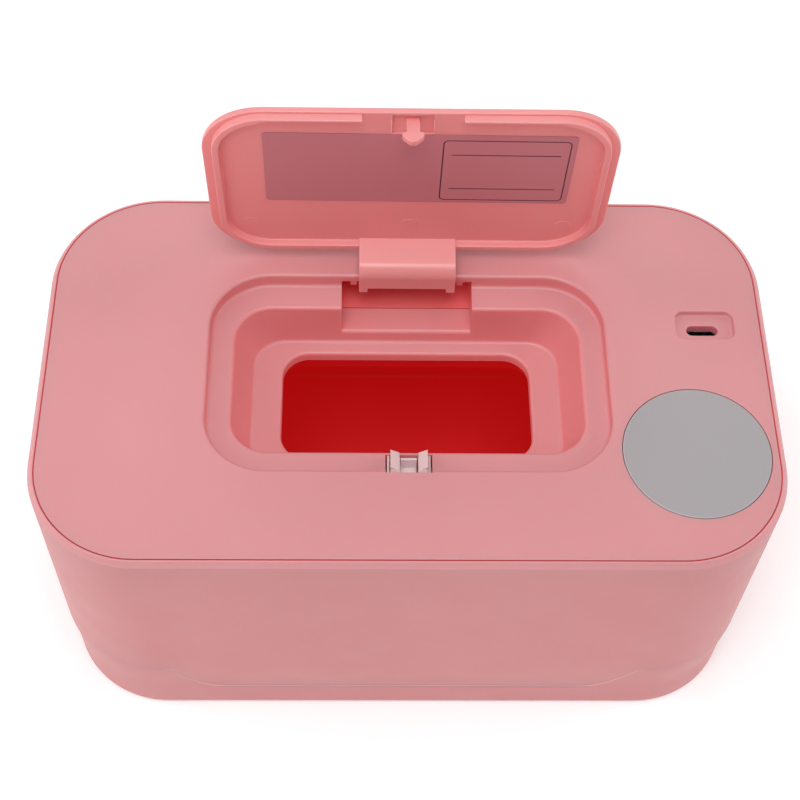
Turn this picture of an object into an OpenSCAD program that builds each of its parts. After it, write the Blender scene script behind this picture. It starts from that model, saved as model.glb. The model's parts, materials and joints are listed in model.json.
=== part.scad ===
// Warmer for a pack of moist wipes: a rounded box with a lift-off top cover,
// a dispensing well under a latching flip lid, a round display lens and a
// charging socket. Millimetres, origin on the table under the middle, Z up,
// the latch side faces -Y. The flip lid is drawn standing open.

/* [Body] */
// Length of the body over its straight walls
body_l = 205; // [190:0.5:220]
// Depth of the body over its straight walls
body_w = 122; // [110:0.5:134]
// Height of the top panel above the table
body_h = 96; // [86:0.5:106]
// Outer radius of the four upright corners
corner_r = 30.7; // [26:0.1:34]
// Thickness of the upright wall
wall_t = 2.2; // [1.8:0.1:2.6]
// Thickness of the rim beside the top panel
rim_t = 1.63; // [1.4:0.01:1.9]
// Radius of the rounded outer top edge
rim_round = 1.1; // [0.6:0.1:1.4]

/* [Base] */
// How far the feet stand below the base
foot_h = 0.9; // [0.6:0.1:1.5]
// How far the base stands in from the wall above it
base_inset = 0.9; // [0.5:0.1:1.2]
// Height of the parting line in the middle of the long sides
band_mid = 13.3; // [12:0.1:18]
// Height of the parting line round the ends
band_end = 27.6; // [24:0.1:32]

/* [Cover] */
// Gap between the rim and the top panel
seam = 0.5; // [0.4:0.05:0.7]
// Thickness of the top panel
panel_t = 2.4; // [2:0.1:3]
// Radius of the round display lens
lens_r = 20.25; // [19:0.05:21]

/* [Well] */
// Length of the lid recess
well_l = 112; // [110:0.1:113]
// Depth of the lid recess
well_w = 64.5; // [64:0.1:66]
// Depth of the ledge below the top panel
ledge_z = 4.6; // [4.5:0.1:5]
// Depth of the well floor below the top panel
floor_z = 18.8; // [18:0.1:20]
// Length of the dispensing opening
slot_l = 72.5; // [68:0.1:76]
// Width of the dispensing opening
slot_w = 36.1; // [32:0.1:38]

/* [Lid] */
// Length of the flip lid
lid_l = 111.2; // [109:0.1:111.4]
// Depth of the flip lid
lid_w = 63.7; // [63:0.1:63.9]
// Thickness of the lid plate
lid_t = 1.9; // [1.8:0.05:2]
// Angle at which the open lid stands, measured from closed
lid_open = 85; // [70:1:90]

/* [Latch] */
// Travel of the push latch
latch_travel = 1.6; // [1.2:0.1:1.6]

/* [Hidden] */
e = 0.01;
H = body_h;
pl = body_l - 2*(rim_t + seam);
pw = body_w - 2*(rim_t + seam);
pr = corner_r - rim_t - seam;
hinge_y = 38.7;
hinge_z = H - 4.4;
lens_x = 78.3;
lens_y = -26.35;
usb_x = 84.4;
usb_y = 15.2;
seat_z = H - 8.6;
post_x = 80;
post_y = 43.5;
screw_x = 60;
screw_y = 30;
pivot_x = 4.1;
pivot_z = H - 13;

pink = [0.88, 0.62, 0.63];
deep = [0.84, 0.50, 0.52];
white = [0.90, 0.86, 0.85];
grey = [0.66, 0.65, 0.66];
metal = [0.72, 0.72, 0.74];
green = [0.16, 0.42, 0.27];

// ---------- helpers ----------

// Rounded rectangle centred on the origin
module rr2(l, w, r) {
  square([l - 2*r, w], center = true);
  square([l, w - 2*r], center = true);
  for (x = [-1, 1]) for (y = [-1, 1])
    translate([x*(l/2 - r), y*(w/2 - r)]) circle(r = r, $fn = 96);
}

// Upright rounded block from z0 to z1
module rr(l, w, r, z0, z1) {
  translate([0, 0, z0]) linear_extrude(z1 - z0) rr2(l, w, r);
}

// Sweeps a profile (x outwards from the path, y up) round a rounded rectangle
module sweep_rr(l, w, r) {
  for (a = [0, 180]) rotate([0, 0, a]) {
    translate([l/2, w/2 - r, 0]) rotate([90, 0, 0])
      linear_extrude(w - 2*r) children();
    translate([l/2 - r, w/2 - r, 0])
      rotate_extrude(angle = 90, $fn = 96) translate([r, 0]) children();
    rotate([0, 0, 90]) {
      translate([w/2, l/2 - r, 0]) rotate([90, 0, 0])
        linear_extrude(l - 2*r) children();
      translate([w/2 - r, l/2 - r, 0])
        rotate_extrude(angle = 90, $fn = 96) translate([r, 0]) children();
    }
  }
}

// Cutter that rounds an outer top edge (outside at x = 0, top at y = z)
module round_out(rad, z) {
  difference() {
    translate([-rad, z - rad]) square([rad + 0.5, rad + 0.5]);
    translate([-rad, z - rad]) circle(r = rad, $fn = 48);
  }
}

// Cutter that rounds the top edge of a recess (wall at x = 0, top at y = z)
module round_in(rad, z) {
  difference() {
    translate([-0.5, z - rad]) square([rad + 0.5, rad + 0.5]);
    translate([rad, z - rad]) circle(r = rad, $fn = 48);
  }
}

// Upright cylinder from z0 to z1
module cyl(x, y, r, z0, z1) {
  translate([x, y, z0]) cylinder(r = r, h = z1 - z0, $fn = 48);
}

// Block from corner a to corner b
module box(a, b) {
  translate(a) cube([b[0] - a[0], b[1] - a[1], b[2] - a[2]]);
}

// Rising curve of the parting line, 0 to 1
function rise(t) = let (u = t < 0.2 ? 0.68*pow(t + 0.2, 2) : 0.5*t + 0.5*pow(t, 2.5))
  u > 1.12 ? 1 : u > 0.88 ? 1 - pow(1.12 - u, 2)/0.48 : u;
curve = [for (i = [0:18])
  [54.66 + 15.22*i/18, band_mid + (band_end - band_mid)*rise(1.3*i/18 - 0.2)]];

// Region under the parting line at one end
module end_region(d) {
  rotate([90, 0, 0]) linear_extrude(200, center = true)
    translate([0, d]) polygon(concat([[54.66, -10]], curve, [[120, band_end], [120, -10]]));
}

// Region over the parting line in the middle
module middle_region(d) {
  n = len(curve);
  rotate([90, 0, 0]) linear_extrude(200, center = true)
    translate([0, d]) polygon(concat(
      [for (i = [0:n - 1]) [-curve[n - 1 - i][0], curve[n - 1 - i][1]]],
      curve, [[69.88, 60], [-69.88, 60]]));
}

// Stadium outline
module stadium(l, w) {
  square([l - w, w], center = true);
  for (s = [-1, 1]) translate([s*(l - w)/2, 0]) circle(r = w/2, $fn = 48);
}

// Turns closed-lid geometry to the open position
module opened() {
  translate([0, hinge_y, hinge_z]) rotate([-lid_open, 0, 0])
    translate([0, -hinge_y, -hinge_z]) children();
}

// Turns open-lid geometry to the closed position
module shut() {
  translate([0, hinge_y, hinge_z]) rotate([lid_open, 0, 0])
    translate([0, -hinge_y, -hinge_z]) children();
}

// Bar along X from x0 to x1 with a profile in (y, z)
module along_x(x0, x1) {
  translate([x0, 0, 0]) rotate([90, 0, 90]) linear_extrude(x1 - x0) children();
}

// Bar along Y from y0 to y1 with a profile in (x, z)
module along_y(y0, y1) {
  translate([0, y1, 0]) rotate([90, 0, 0]) linear_extrude(y1 - y0) children();
}

// ---------- body ----------

module body_shell() color(pink) {
  difference() {
    sweep_rr(body_l, body_w, corner_r) {
      difference() {
        union() {
          translate([-rim_t, H - 9]) square([rim_t, 9]);
          translate([-wall_t, band_mid]) square([wall_t, seat_z - band_mid]);
          polygon([[-4.6, seat_z], [-1, seat_z], [-1, seat_z - 5], [-wall_t, seat_z - 5],
            [-4.6, seat_z - 2.2]]);
        }
        round_out(rim_round, H);
      }
    }
    end_region(0);
    mirror([1, 0, 0]) end_region(0);
  }
}

module base_pan() color(pink) {
  difference() {
    union() {
      difference() {
        sweep_rr(body_l, body_w, corner_r) {
          polygon([[-0.12, band_end - 0.1], [-base_inset, 13], [-base_inset, foot_h + 1],
            [-base_inset - 1, foot_h], [-7, foot_h], [-7, foot_h + 2.2], [-2.9, foot_h + 2.2],
            [-2.9, 13], [-2.3, band_end - 0.1]]);
          translate([-base_inset - 1, foot_h + 1]) circle(r = 1, $fn = 48);
        }
        middle_region(-0.1);
      }
      difference() {
        sweep_rr(body_l, body_w, corner_r)
          polygon([[-2.35, band_mid - 6], [-2.35, band_end + 3], [-3.6, band_end + 3],
            [-3.6, band_mid - 6]]);
        middle_region(3);
      }
      rr(body_l - 12, body_w - 12, corner_r - 6, foot_h, foot_h + 2.2);
      for (x = [-1, 1]) for (y = [-1, 1])
        cyl(x*screw_x, y*screw_y, 5, foot_h + 1, 4.6);
    }
    for (x = [-1, 1]) for (y = [-1, 1]) {
      cyl(x*screw_x, y*screw_y, 3.4, 0, 2.6);
      cyl(x*screw_x, y*screw_y, 1.7, 2, 6);
      cyl(x*76, y*38, 6.15, 0, 1.7);
    }
  }
}

module rubber_feet() color([0.25, 0.25, 0.26])
  for (x = [-1, 1]) for (y = [-1, 1]) translate([x*76, y*38, 0])
    rotate_extrude($fn = 64)
      polygon([[0, 0], [5.4, 0], [6, 0.5], [6, 1.65], [0, 1.65]]);

module base_screws() color(metal)
  for (x = [-1, 1]) for (y = [-1, 1]) translate([x*screw_x, y*screw_y, 0])
    difference() {
      rotate_extrude($fn = 48)
        polygon([[0, 1.3], [2.2, 1.3], [2.9, 1.7], [2.9, 2.6], [1.15, 2.6],
          [1.15, 8], [0.3, 8.8], [0, 8.8]]);
      box([-1.6, -0.3, 1], [1.6, 0.3, 1.9]);
      box([-0.3, -1.6, 1], [0.3, 1.6, 1.9]);
    }

module inner_tub() color(deep) {
  difference() {
    union() {
      sweep_rr(body_l, body_w, corner_r) {
        translate([-6.4, 13]) square([1.4, seat_z - 13 + 0.5]);
        translate([-6.4, seat_z + 0.05]) square([4.45, 1.4]);
        difference() {
          translate([-9, 9]) square([4, 4]);
          translate([-9, 13]) circle(r = 2.6, $fn = 48);
          difference() {
            translate([-9, 9]) square([4, 4]);
            translate([-9, 13]) circle(r = 4, $fn = 48);
          }
          translate([-9, 13]) square([2.6, 1]);
        }
      }
      rr(body_l - 18, body_w - 18, corner_r - 9, 9, 10.4);
      for (x = [-1, 1]) for (y = [-1, 1])
        cyl(x*screw_x, y*screw_y, 3.6, 4.65, 9.5);
    }
    for (x = [-1, 1]) for (y = [-1, 1])
      cyl(x*screw_x, y*screw_y, 1.2, 4, 9.2);
  }
}

module tub_seal() color([0.93, 0.93, 0.92])
  sweep_rr(body_l, body_w, corner_r) {
    translate([-6.3, seat_z + 1.45]) square([1.7, 0.55]);
    translate([-5.45, seat_z + 2]) circle(r = 0.28, $fn = 32);
  }

// ---------- cover ----------

module bearing_tab(x0)
  difference() {
    along_x(x0, x0 + 1.9) {
      polygon([[32.9, H - panel_t - 0.1 + 0.2], [32.9, H - 5], [36.8, H - 6], [38.7, H - 6.6],
        [40.6, H - 6], [42, H - 5], [42, H - panel_t + 0.1]]);
      translate([hinge_y, hinge_z]) circle(r = 2.3, $fn = 48);
    }
    translate([x0 - 1, hinge_y, hinge_z]) rotate([0, 90, 0])
      cylinder(r = 1.03, h = 4, $fn = 48);
  }

module top_panel() color(pink) {
  difference() {
    union() {
      // plate with a soft outer edge and a skirt
      rr(pl - 3, pw - 3, pr - 1.5, H - panel_t, H);
      sweep_rr(pl, pw, pr) difference() {
        translate([-1.9, H - 7]) square([1.9, 7]);
        round_out(0.4, H);
      }
      // walls of the well
      rr(well_l + 4, well_w + 4, 19.1, H - ledge_z - 2.2, H - panel_t + e);
      hull() {
        translate([0, 0, H - ledge_z - 2.2]) linear_extrude(0.1) rr2(102.6, 52, 12.6);
        translate([0, 0, H - 21.7]) linear_extrude(0.1) rr2(92.9, 48.7, 11.3);
      }
      // hinge pocket
      box([-21, 18, H - 16.7], [21, 31.5, H - panel_t + e]);
      // latch screw bosses
      for (x = [-1, 1]) cyl(x*9.4, -29, 2.6, H - 9, H - ledge_z - 1);
      // bosses for the hinge bracket
      for (x = [-1, 1]) cyl(x*25, 41, 2.6, H - 6.5, H - panel_t + e);
      // socket boss
      translate([84.95, 15.9, 0]) rr(20, 13, 4.8, H - 3.6, H - panel_t + e);
      // bosses for the board
      for (p = [[63.5, 22], [63.5, -36], [87.5, -35.5]])
        cyl(p[0], p[1], 2.2, H - 9.45, H - panel_t + e);
      // posts for the inner cover
      for (x = [-1, 1]) for (y = [-1, 1])
        cyl(x*post_x, y*post_y, 3.1, H - 28.15, H - panel_t + e);
    }
    // lid recess with its rounded top edge
    rr(well_l, well_w, 17.1, H - ledge_z, H + 1);
    sweep_rr(well_l, well_w, 17.1) round_in(1, H);
    // sloping walls down to the well floor
    hull() {
      translate([0, 0, H - ledge_z - e]) linear_extrude(e) rr2(98.6, 48, 10.6);
      translate([0, 0, H - floor_z]) linear_extrude(e) rr2(88.9, 44.7, 9.3);
    }
    // dispensing opening with a rounded upper edge
    rr(slot_l - 0.6, slot_w - 0.6, 7.8, H - 25, H - floor_z + 1);
    sweep_rr(slot_l - 0.6, slot_w - 0.6, 7.8) round_in(0.8, H - floor_z);
    // hinge pocket and its way through the back wall
    box([-18.95, 23, H - 14.5], [18.95, 46, H - panel_t]);
    // latch slot
    box([-6.15, -33.05, H - 30], [6.15, -24.95, H + 1]);
    box([-6.15, -34.6, H - 30], [6.15, -24.95, H - panel_t]);
    // socket recess and slot
    translate([84.95, 15.9, 0]) rr(16.5, 9.4, 3, H - 2, H + 1);
    translate([usb_x, usb_y, H - 6]) linear_extrude(7) stadium(9.05, 3.3);
    // lens seat and window
    cyl(lens_x, lens_y, 20.5, H - 1.6, H + 1);
    translate([lens_x, lens_y, 0]) rr(24, 14, 2, H - 4, H);
    // pilot holes
    for (x = [-1, 1]) cyl(x*9.4, -29, 1.05, H - 10, H - ledge_z - 1);
    for (x = [-1, 1]) cyl(x*25, 41, 1.05, H - 7, H - 3);
    for (p = [[63.5, 22], [63.5, -36], [87.5, -35.5]])
      cyl(p[0], p[1], 1.05, H - 10, H - 4);
    for (x = [-1, 1]) for (y = [-1, 1])
      cyl(x*post_x, y*post_y, 1.25, H - 29, H - 20);
  }
  bearing_tab(14.5);
  bearing_tab(-16.4);
}

module display_lens() color(grey)
  translate([lens_x, lens_y, 0]) rotate_extrude($fn = 128)
    polygon([[0, H - 1.6], [lens_r, H - 1.6], [lens_r, H - 0.3], [lens_r - 0.3, H], [0, H]]);

module display_module() color([0.12, 0.12, 0.13])
  translate([lens_x, lens_y, 0]) difference() {
    rr(23, 13, 1.6, H - 9.45, H - 1.75);
    // two digit windows with seven light bars each
    for (d = [-1, 1]) translate([d*4.6, 0, 0]) {
      for (y = [-1, 0, 1]) box([-2, y*4 - 0.4, H - 2.3], [2, y*4 + 0.4, H]);
      for (x = [-1, 1]) for (y = [-1, 1])
        box([x*2.7 - 0.4, y*2 - 1.4, H - 2.3], [x*2.7 + 0.4, y*2 + 1.4, H]);
    }
  }

module control_board() color(green)
  difference() {
    translate([75.25, -6.5, 0]) rr(30.5, 65, 2, H - 11.1, H - 9.5);
    for (p = [[63.5, 22], [63.5, -36], [87.5, -35.5]])
      cyl(p[0], p[1], 1.3, H - 12, H - 9);
  }

module pan_screw(x, y, z, up)
  translate([x, y, z]) difference() {
    rotate_extrude($fn = 40)
      polygon([[0, -1.2], [1.5, -1.2], [2, -0.8], [2, 0], [1, 0], [1, up - 0.6],
        [0.3, up], [0, up]]);
    box([-1.2, -0.22, -2], [1.2, 0.22, -0.6]);
    box([-0.22, -1.2, -2], [0.22, 1.2, -0.6]);
  }

module board_screws() color(metal)
  for (p = [[63.5, 22], [63.5, -36], [87.5, -35.5]])
    pan_screw(p[0], p[1], H - 11.12, 6);

module usb_shell() color(metal)
  translate([usb_x, usb_y, 0]) difference() {
    translate([0, 0, H - 9.45]) linear_extrude(5.05) stadium(8.94, 3.2);
    translate([0, 0, H - 9.1]) linear_extrude(8) stadium(8.34, 2.6);
  }

module usb_tongue() color([0.10, 0.10, 0.11])
  translate([usb_x, usb_y, 0]) {
    translate([0, 0, H - 9.05]) linear_extrude(1.6) stadium(8.3, 2.56);
    box([-3.35, -0.35, H - 7.5], [3.35, 0.35, H - 5.2]);
  }

module inner_cover() color(deep) {
  difference() {
    union() {
      sweep_rr(body_l, body_w, corner_r) {
        translate([-9.5, H - 6.2]) square([5, 1.4]);
        translate([-9.5, H - 29.6]) square([1.4, 24]);
      }
      rr(body_l - 18, body_w - 18, corner_r - 9, H - 29.6, H - 28.2);
      rr(79.8, 43.8, 10.4, H - 28.3, H - 21.9);
    }
    rr(77, 41, 9, H - 31, H - 20);
    for (x = [-1, 1]) for (y = [-1, 1]) {
      cyl(x*post_x, y*post_y, 1.4, H - 31, H - 27);
    }
    for (p = [[-76, 40], [0, 40], [76, 40], [-76, -40], [0, -40], [76, -40]])
      cyl(p[0], p[1], 1.25, H - 31, H - 27);
  }
}

module cover_screws() color(metal)
  for (x = [-1, 1]) for (y = [-1, 1])
    pan_screw(x*post_x, y*post_y, H - 29.62, 8);

module heat_pad() color([0.85, 0.84, 0.80])
  difference() {
    rr(176, 98, 14, H - 28.15, H - 24.4);
    rr(81, 45, 11, H - 30, H - 20);
    for (x = [-1, 1]) for (y = [-1, 1]) cyl(x*post_x, y*post_y, 3.8, H - 30, H - 20);
    for (p = [[-76, 40], [0, 40], [76, 40], [-76, -40], [0, -40], [76, -40]])
      cyl(p[0], p[1], 2.6, H - 30, H - 20);
    box([-75, 20, H - 30], [-46, 34, H - 20]);
  }

module plate_outline(l, w, r) difference() {
  rr2(l, w, r);
  rr2(80.5, 44.5, 10.5);
  for (p = [[-76, 40], [0, 40], [76, 40], [-76, -40], [0, -40], [76, -40]])
    translate(p) circle(r = 1.25, $fn = 32);
  for (x = [-1, 1]) for (y = [-1, 1])
    translate([x*post_x, y*post_y]) circle(r = 3, $fn = 32);
}

module heating_film() color([0.78, 0.50, 0.20])
  translate([0, 0, H - 29.93]) linear_extrude(0.28) plate_outline(164, 92, 14);

module heater_plate() color([0.80, 0.81, 0.82])
  translate([0, 0, H - 31.2]) linear_extrude(1.22) plate_outline(168, 94, 15);

module plate_rivets() color(metal)
  for (p = [[-76, 40], [0, 40], [76, 40], [-76, -40], [0, -40], [76, -40]])
    translate([p[0], p[1], 0]) rotate_extrude($fn = 32)
      polygon([[0, H - 32.1], [1.6, H - 32.1], [2.3, H - 31.6], [2.3, H - 31.22],
        [1.2, H - 31.22], [1.2, H - 28.18], [1.9, H - 28.18], [1.5, H - 27.4], [0, H - 27.4]]);

module thermistor() color([0.15, 0.15, 0.16])
  translate([-56, 23, H - 27]) rotate([0, 90, 0]) {
    cylinder(r = 1.1, h = 4, $fn = 32);
    sphere(r = 1.12, $fn = 32);
  }

module thermal_fuse() color([0.86, 0.84, 0.78])
  translate([-68, 31, H - 26]) rotate([0, 90, 0]) {
    cylinder(r = 2, h = 9, $fn = 32);
    translate([0, 0, -2]) cylinder(r = 0.5, h = 13, $fn = 24);
  }

// Wire with round bends through the listed points
module wire(p, r) {
  for (i = [0:len(p) - 2]) {
    v = p[i + 1] - p[i];
    n = norm(v);
    translate(p[i]) rotate([0, acos(v[2]/n), atan2(v[1], v[0])])
      cylinder(r = r, h = n, $fn = 24);
  }
  for (i = [1:len(p) - 2]) translate(p[i]) sphere(r = r*1.02, $fn = 24);
}

module heater_wires() color([0.75, 0.12, 0.12]) {
  wire([[67, 20, H - 11.15], [67, 20, H - 23.2], [67, 28, H - 23.2],
    [-49, 28, H - 23.2], [-49, 23, H - 23.2], [-51.4, 23, H - 26.4]], 0.55);
  wire([[70, 22, H - 11.15], [70, 22, H - 23.2], [70, 36, H - 23.2],
    [-73, 36, H - 23.2], [-73, 31, H - 23.2], [-71, 31, H - 26]], 0.55);
}

// ---------- hinge ----------

module hinge_bracket() color(deep)
  difference() {
    union() {
      box([-21, 31.62, H - 16.7], [21, 45, H - panel_t - 0.05]);
      for (x = [-1, 1]) translate([x*25, 41, 0]) rr(12, 8, 2, H - 8.2, H - 6.55);
    }
    box([-18.95, 30, H - 14.6], [18.95, 43.2, H]);
    box([-22, 31, H - 6.85], [22, 34.35, H]);
    for (x = [-1, 1]) cyl(x*25, 41, 1.3, H - 10, H - 5);
  }

module bracket_screws() color(metal)
  for (x = [-1, 1]) pan_screw(x*25, 41, H - 8.22, 5);

module hinge_pin() color(metal)
  translate([-17.3, hinge_y, hinge_z]) rotate([0, 90, 0])
    cylinder(r = 1, h = 34.6, $fn = 48);

// One half turn of a coil about Z, rising by a, then the next
module half_turn(R, w, a) {
  t = atan2(a, 2*R);
  // first half, from +X to -X
  translate([0, 0, a/2]) rotate([0, t, 0])
    rotate_extrude(angle = 180, $fn = 64) translate([R/cos(t), 0]) circle(r = w, $fn = 24);
}

// Coil of n turns about Z
module coil(R, w, pitch, n) {
  for (i = [0:n - 1]) {
    translate([0, 0, i*pitch]) half_turn(R, w, pitch/2);
    translate([0, 0, i*pitch + pitch/2]) rotate([0, 0, 180]) half_turn(R, w, pitch/2);
    translate([R, 0, i*pitch]) sphere(r = w*1.05, $fn = 24);
    translate([-R, 0, i*pitch + pitch/2]) sphere(r = w*1.05, $fn = 24);
  }
  translate([R, 0, n*pitch]) sphere(r = w*1.05, $fn = 24);
}

module hinge_spring() color(metal)
  translate([-2.4, hinge_y, hinge_z]) rotate([0, 90, 0]) {
    coil(1.55, 0.2, 0.6, 8);
    wire([[1.55, 0, 4.8], [1.55, -1, 5.6], [5, -1, 5.6]], 0.2);
    wire([[1.55, 0, 0], [1.55, 1, -0.8], [4, 3.2, -0.8]], 0.2);
  }

// ---------- lid ----------

module arm_profile()
  polygon([[40.9, H + 8.35], [34.4, H + 8.12], [32.7, H + 7.7], [31.4, H + 6.7],
    [30.5, H + 5.1], [30.05, H + 3.4], [29.9, H + 1.8], [29.9, H - 3],
    [31.55, H - 3], [31.55, H + 1.9], [31.75, H + 3.3], [32.3, H + 4.7],
    [33.2, H + 5.7], [34.4, H + 6.3], [40.9, H + 6.5]]);

module cheek_profile() {
  polygon([[29.9, H + 1.8], [29.9, H - 4.6], [30.2, H - 4.85], [31.4, H - 4.95],
    [38.7, H - 6.02], [38.7, H - 2.78], [31.8, H - 2.9], [31.55, H + 1.8]]);
  translate([hinge_y, hinge_z]) circle(r = 1.62, $fn = 48);
}

module flip_lid() color(pink) {
  // plate, ring and hook, drawn closed and turned open
  opened() {
    difference() {
      rr(lid_l, lid_w, 16.7, H - lid_t, H);
      sweep_rr(lid_l, lid_w, 16.7) round_out(0.7, H);
      // relief along the hinge edge
      along_x(-45, 45) polygon([[31.3, H - lid_t - 0.2], [32.2, H - lid_t - 0.2],
        [32.2, H - 0.4], [31.85, H - 0.9], [31.3, H - lid_t]]);
      // recess round the hook
      box([-5.4, -30.95, H - 5], [5.4, -23, H - lid_t + 0.9]);
    }
    difference() {
      translate([0, -1.3, 0]) sweep_rr(105.8, 59.8, 14.6) difference() {
        translate([-1.9, H - 4.1]) square([1.9, 4.1 - lid_t + 0.1]);
        translate([0, H - 4.1]) rotate(45) square(0.5, center = true);
        translate([-1.9, H - 4.1]) rotate(45) square(0.5, center = true);
      }
      // gap for the latch and the thin part of the rib
      box([-13.2, -34, H - 5], [13.2, -26, H]);
      for (s = [-1, 1]) box([s*27 - 14, -30.3, H - 5], [s*27 + 14, -26, H]);
    }
    // ejector marks
    for (p = [[-44.3, 18.8], [0.2, 19.2], [43.9, 19.6]])
      cyl(p[0], p[1], 2.5, H - lid_t - 0.15, H - lid_t + 0.1);
    along_y(-29, -27) polygon([[1.8, H - 1], [1.8, H - 5.5], [2.5, H - 5.5],
      [2.85, H - 5.85], [2.85, H - 6.35], [2.4, H - 7.1], [1.6, H - 8], [0.7, H - 8.6],
      [0, H - 8.75], [-0.7, H - 8.6], [-1.6, H - 8], [-2.4, H - 7.1], [-2.85, H - 6.35],
      [-2.85, H - 5.85], [-2.5, H - 5.5], [-1.8, H - 5.5], [-1.8, H - 1]]);
  }
  // goose-neck arm, drawn in the open position
  difference() {
    union() {
      along_x(-13.9, 13.9) arm_profile();
      along_x(-13.9, -11.4) cheek_profile();
      along_x(11.4, 13.9) cheek_profile();
    }
    translate([-20, hinge_y, hinge_z]) rotate([0, 90, 0])
      cylinder(r = 1.06, h = 40, $fn = 48);
  }
}

module lid_label() color([0.72, 0.44, 0.48])
  opened() translate([2.1, -7.5, H - lid_t - 0.14]) rotate([0, 0, 0.5])
    linear_extrude(0.12) rr2(83.2, 30.8, 1);

// ---------- latch ----------

module latch_housing() color(white)
  difference() {
    union() {
      box([-5.95, -34.4, H - 24], [5.95, -25.1, H - 9.4]);
      box([-5.95, -33.0, H - 9.5], [-5.3, -25.1, H - 4.8]);
      box([5.3, -33.0, H - 9.5], [5.95, -25.1, H - 4.8]);
      box([-5.95, -34.4, H - 9.5], [5.95, -33.1, H - 2.5]);
      for (x = [-1, 1]) translate([x*8.6, -29.4, 0]) rr(7, 6.6, 1.5, H - 10.6, H - 9.05);
    }
    box([-5.3, -33.1, H - 23.2], [5.3, -25.7, H + 1]);
    box([-5.3, -33.1, H - 12.2], [5.3, -24, H + 1]);
    for (x = [-1, 1]) cyl(x*9.4, -29, 1.3, H - 12, H - 8);
  }

module latch_screws() color(metal)
  for (x = [-1, 1]) pan_screw(x*9.4, -29, H - 10.62, 4.5);

module latch_slider() color(white)
  difference() {
    union() {
      box([-2.2, -32.8, H - 15.2], [2.2, -25.85, H - 9.2]);
      box([-2.2, -26.4, H - 11], [2.2, -25.85, H - 4.7]);
      box([-5.1, -32.8, H - 15.2], [5.1, -31.1, H - 11.6]);
    }
    for (s = [-1, 1]) translate([s*pivot_x, -34, pivot_z]) rotate([-90, 0, 0])
      cylinder(r = 0.52, h = 4, $fn = 32);
  }

module latch_pins() color(metal)
  for (s = [-1, 1]) translate([s*pivot_x, -32.7, pivot_z]) rotate([-90, 0, 0])
    cylinder(r = 0.5, h = 6.3, $fn = 32);

module jaw(s)
  difference() {
    union() {
      // claw: slanted top, chamfered front, a lip over the back of the slot
      intersection() {
        along_y(-31.6, -25.25) polygon([[s*5.05, H - 1.2], [s*2.5, H - 2.85], [s*2.5, H - 3.55],
          [s*3.6, H - 3.9], [s*3.6, H - 10.2], [s*5.05, H - 10.2]]);
        along_x(-6, 6) polygon([[-30.8, H], [-30.8, H - 2.1], [-31.6, H - 2.9], [-31.6, H - 11],
          [-26.6, H - 11], [-26.6, H - 2.8], [-25.25, H - 2.8], [-25.25, H]]);
      }
      along_y(-30.6, -26.6) polygon([[s*5.05, H - 10.1], [s*3.6, H - 10.1], [s*3.1, H - 11.2],
        [s*3.1, H - 13], [s*5.05, H - 13]]);
      translate([s*pivot_x, -30.6, pivot_z]) rotate([-90, 0, 0])
        cylinder(r = 0.99, h = 4, $fn = 40);
    }
    translate([s*pivot_x, -35, pivot_z]) rotate([-90, 0, 0])
      cylinder(r = 0.55, h = 12, $fn = 32);
  }

module latch_jaw_left() color(white) jaw(-1);

module latch_jaw_right() color(white) jaw(1);

module latch_spring() color(metal)
  translate([0, -29.4, H - 22.9]) {
    coil(1.7, 0.25, 1.85, 4);
    translate([1.7, 0, -0.02]) cylinder(r = 0.2, h = 0.1, $fn = 16);
  }

body_shell();
base_pan();
rubber_feet();
base_screws();
inner_tub();
tub_seal();
top_panel();
display_lens();
display_module();
control_board();
board_screws();
usb_shell();
usb_tongue();
inner_cover();
cover_screws();
heat_pad();
heating_film();
heater_plate();
plate_rivets();
thermistor();
thermal_fuse();
heater_wires();
hinge_bracket();
bracket_screws();
hinge_pin();
hinge_spring();
flip_lid();
lid_label();
latch_housing();
latch_screws();
latch_slider();
latch_pins();
latch_jaw_left();
latch_jaw_right();
latch_spring();
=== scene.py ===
import json
import math

import bmesh
import bpy
from mathutils import Matrix, Vector

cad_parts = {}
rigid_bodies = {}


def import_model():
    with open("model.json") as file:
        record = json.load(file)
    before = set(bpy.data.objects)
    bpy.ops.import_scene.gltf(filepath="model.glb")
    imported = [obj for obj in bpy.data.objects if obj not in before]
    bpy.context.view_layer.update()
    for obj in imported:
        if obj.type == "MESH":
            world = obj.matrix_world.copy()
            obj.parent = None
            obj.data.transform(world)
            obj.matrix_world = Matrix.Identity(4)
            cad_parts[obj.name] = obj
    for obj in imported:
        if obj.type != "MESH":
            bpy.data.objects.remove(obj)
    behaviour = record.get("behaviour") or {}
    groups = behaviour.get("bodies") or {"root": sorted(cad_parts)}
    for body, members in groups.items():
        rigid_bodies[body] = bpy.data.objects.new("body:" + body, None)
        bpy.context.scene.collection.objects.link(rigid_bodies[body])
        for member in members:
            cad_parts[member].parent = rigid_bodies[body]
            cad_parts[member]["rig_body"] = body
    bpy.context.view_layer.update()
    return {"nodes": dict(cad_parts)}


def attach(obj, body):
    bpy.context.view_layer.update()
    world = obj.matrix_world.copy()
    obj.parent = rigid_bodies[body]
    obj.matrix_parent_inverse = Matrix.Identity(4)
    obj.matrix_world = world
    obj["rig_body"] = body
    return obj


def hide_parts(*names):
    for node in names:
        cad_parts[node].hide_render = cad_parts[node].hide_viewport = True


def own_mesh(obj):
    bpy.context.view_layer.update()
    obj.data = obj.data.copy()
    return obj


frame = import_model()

NODES = frame["nodes"]
BODY_OF = {n: o["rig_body"] for n, o in NODES.items()}
H = 96.0
MM = 0.001


# ---------- materials ----------

def lin(c):
    """sRGB 0-255 to linear."""
    out = []
    for v in c:
        v = v / 255.0
        out.append(v / 12.92 if v <= 0.04045 else ((v + 0.055) / 1.055) ** 2.4)
    return tuple(out)


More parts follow.
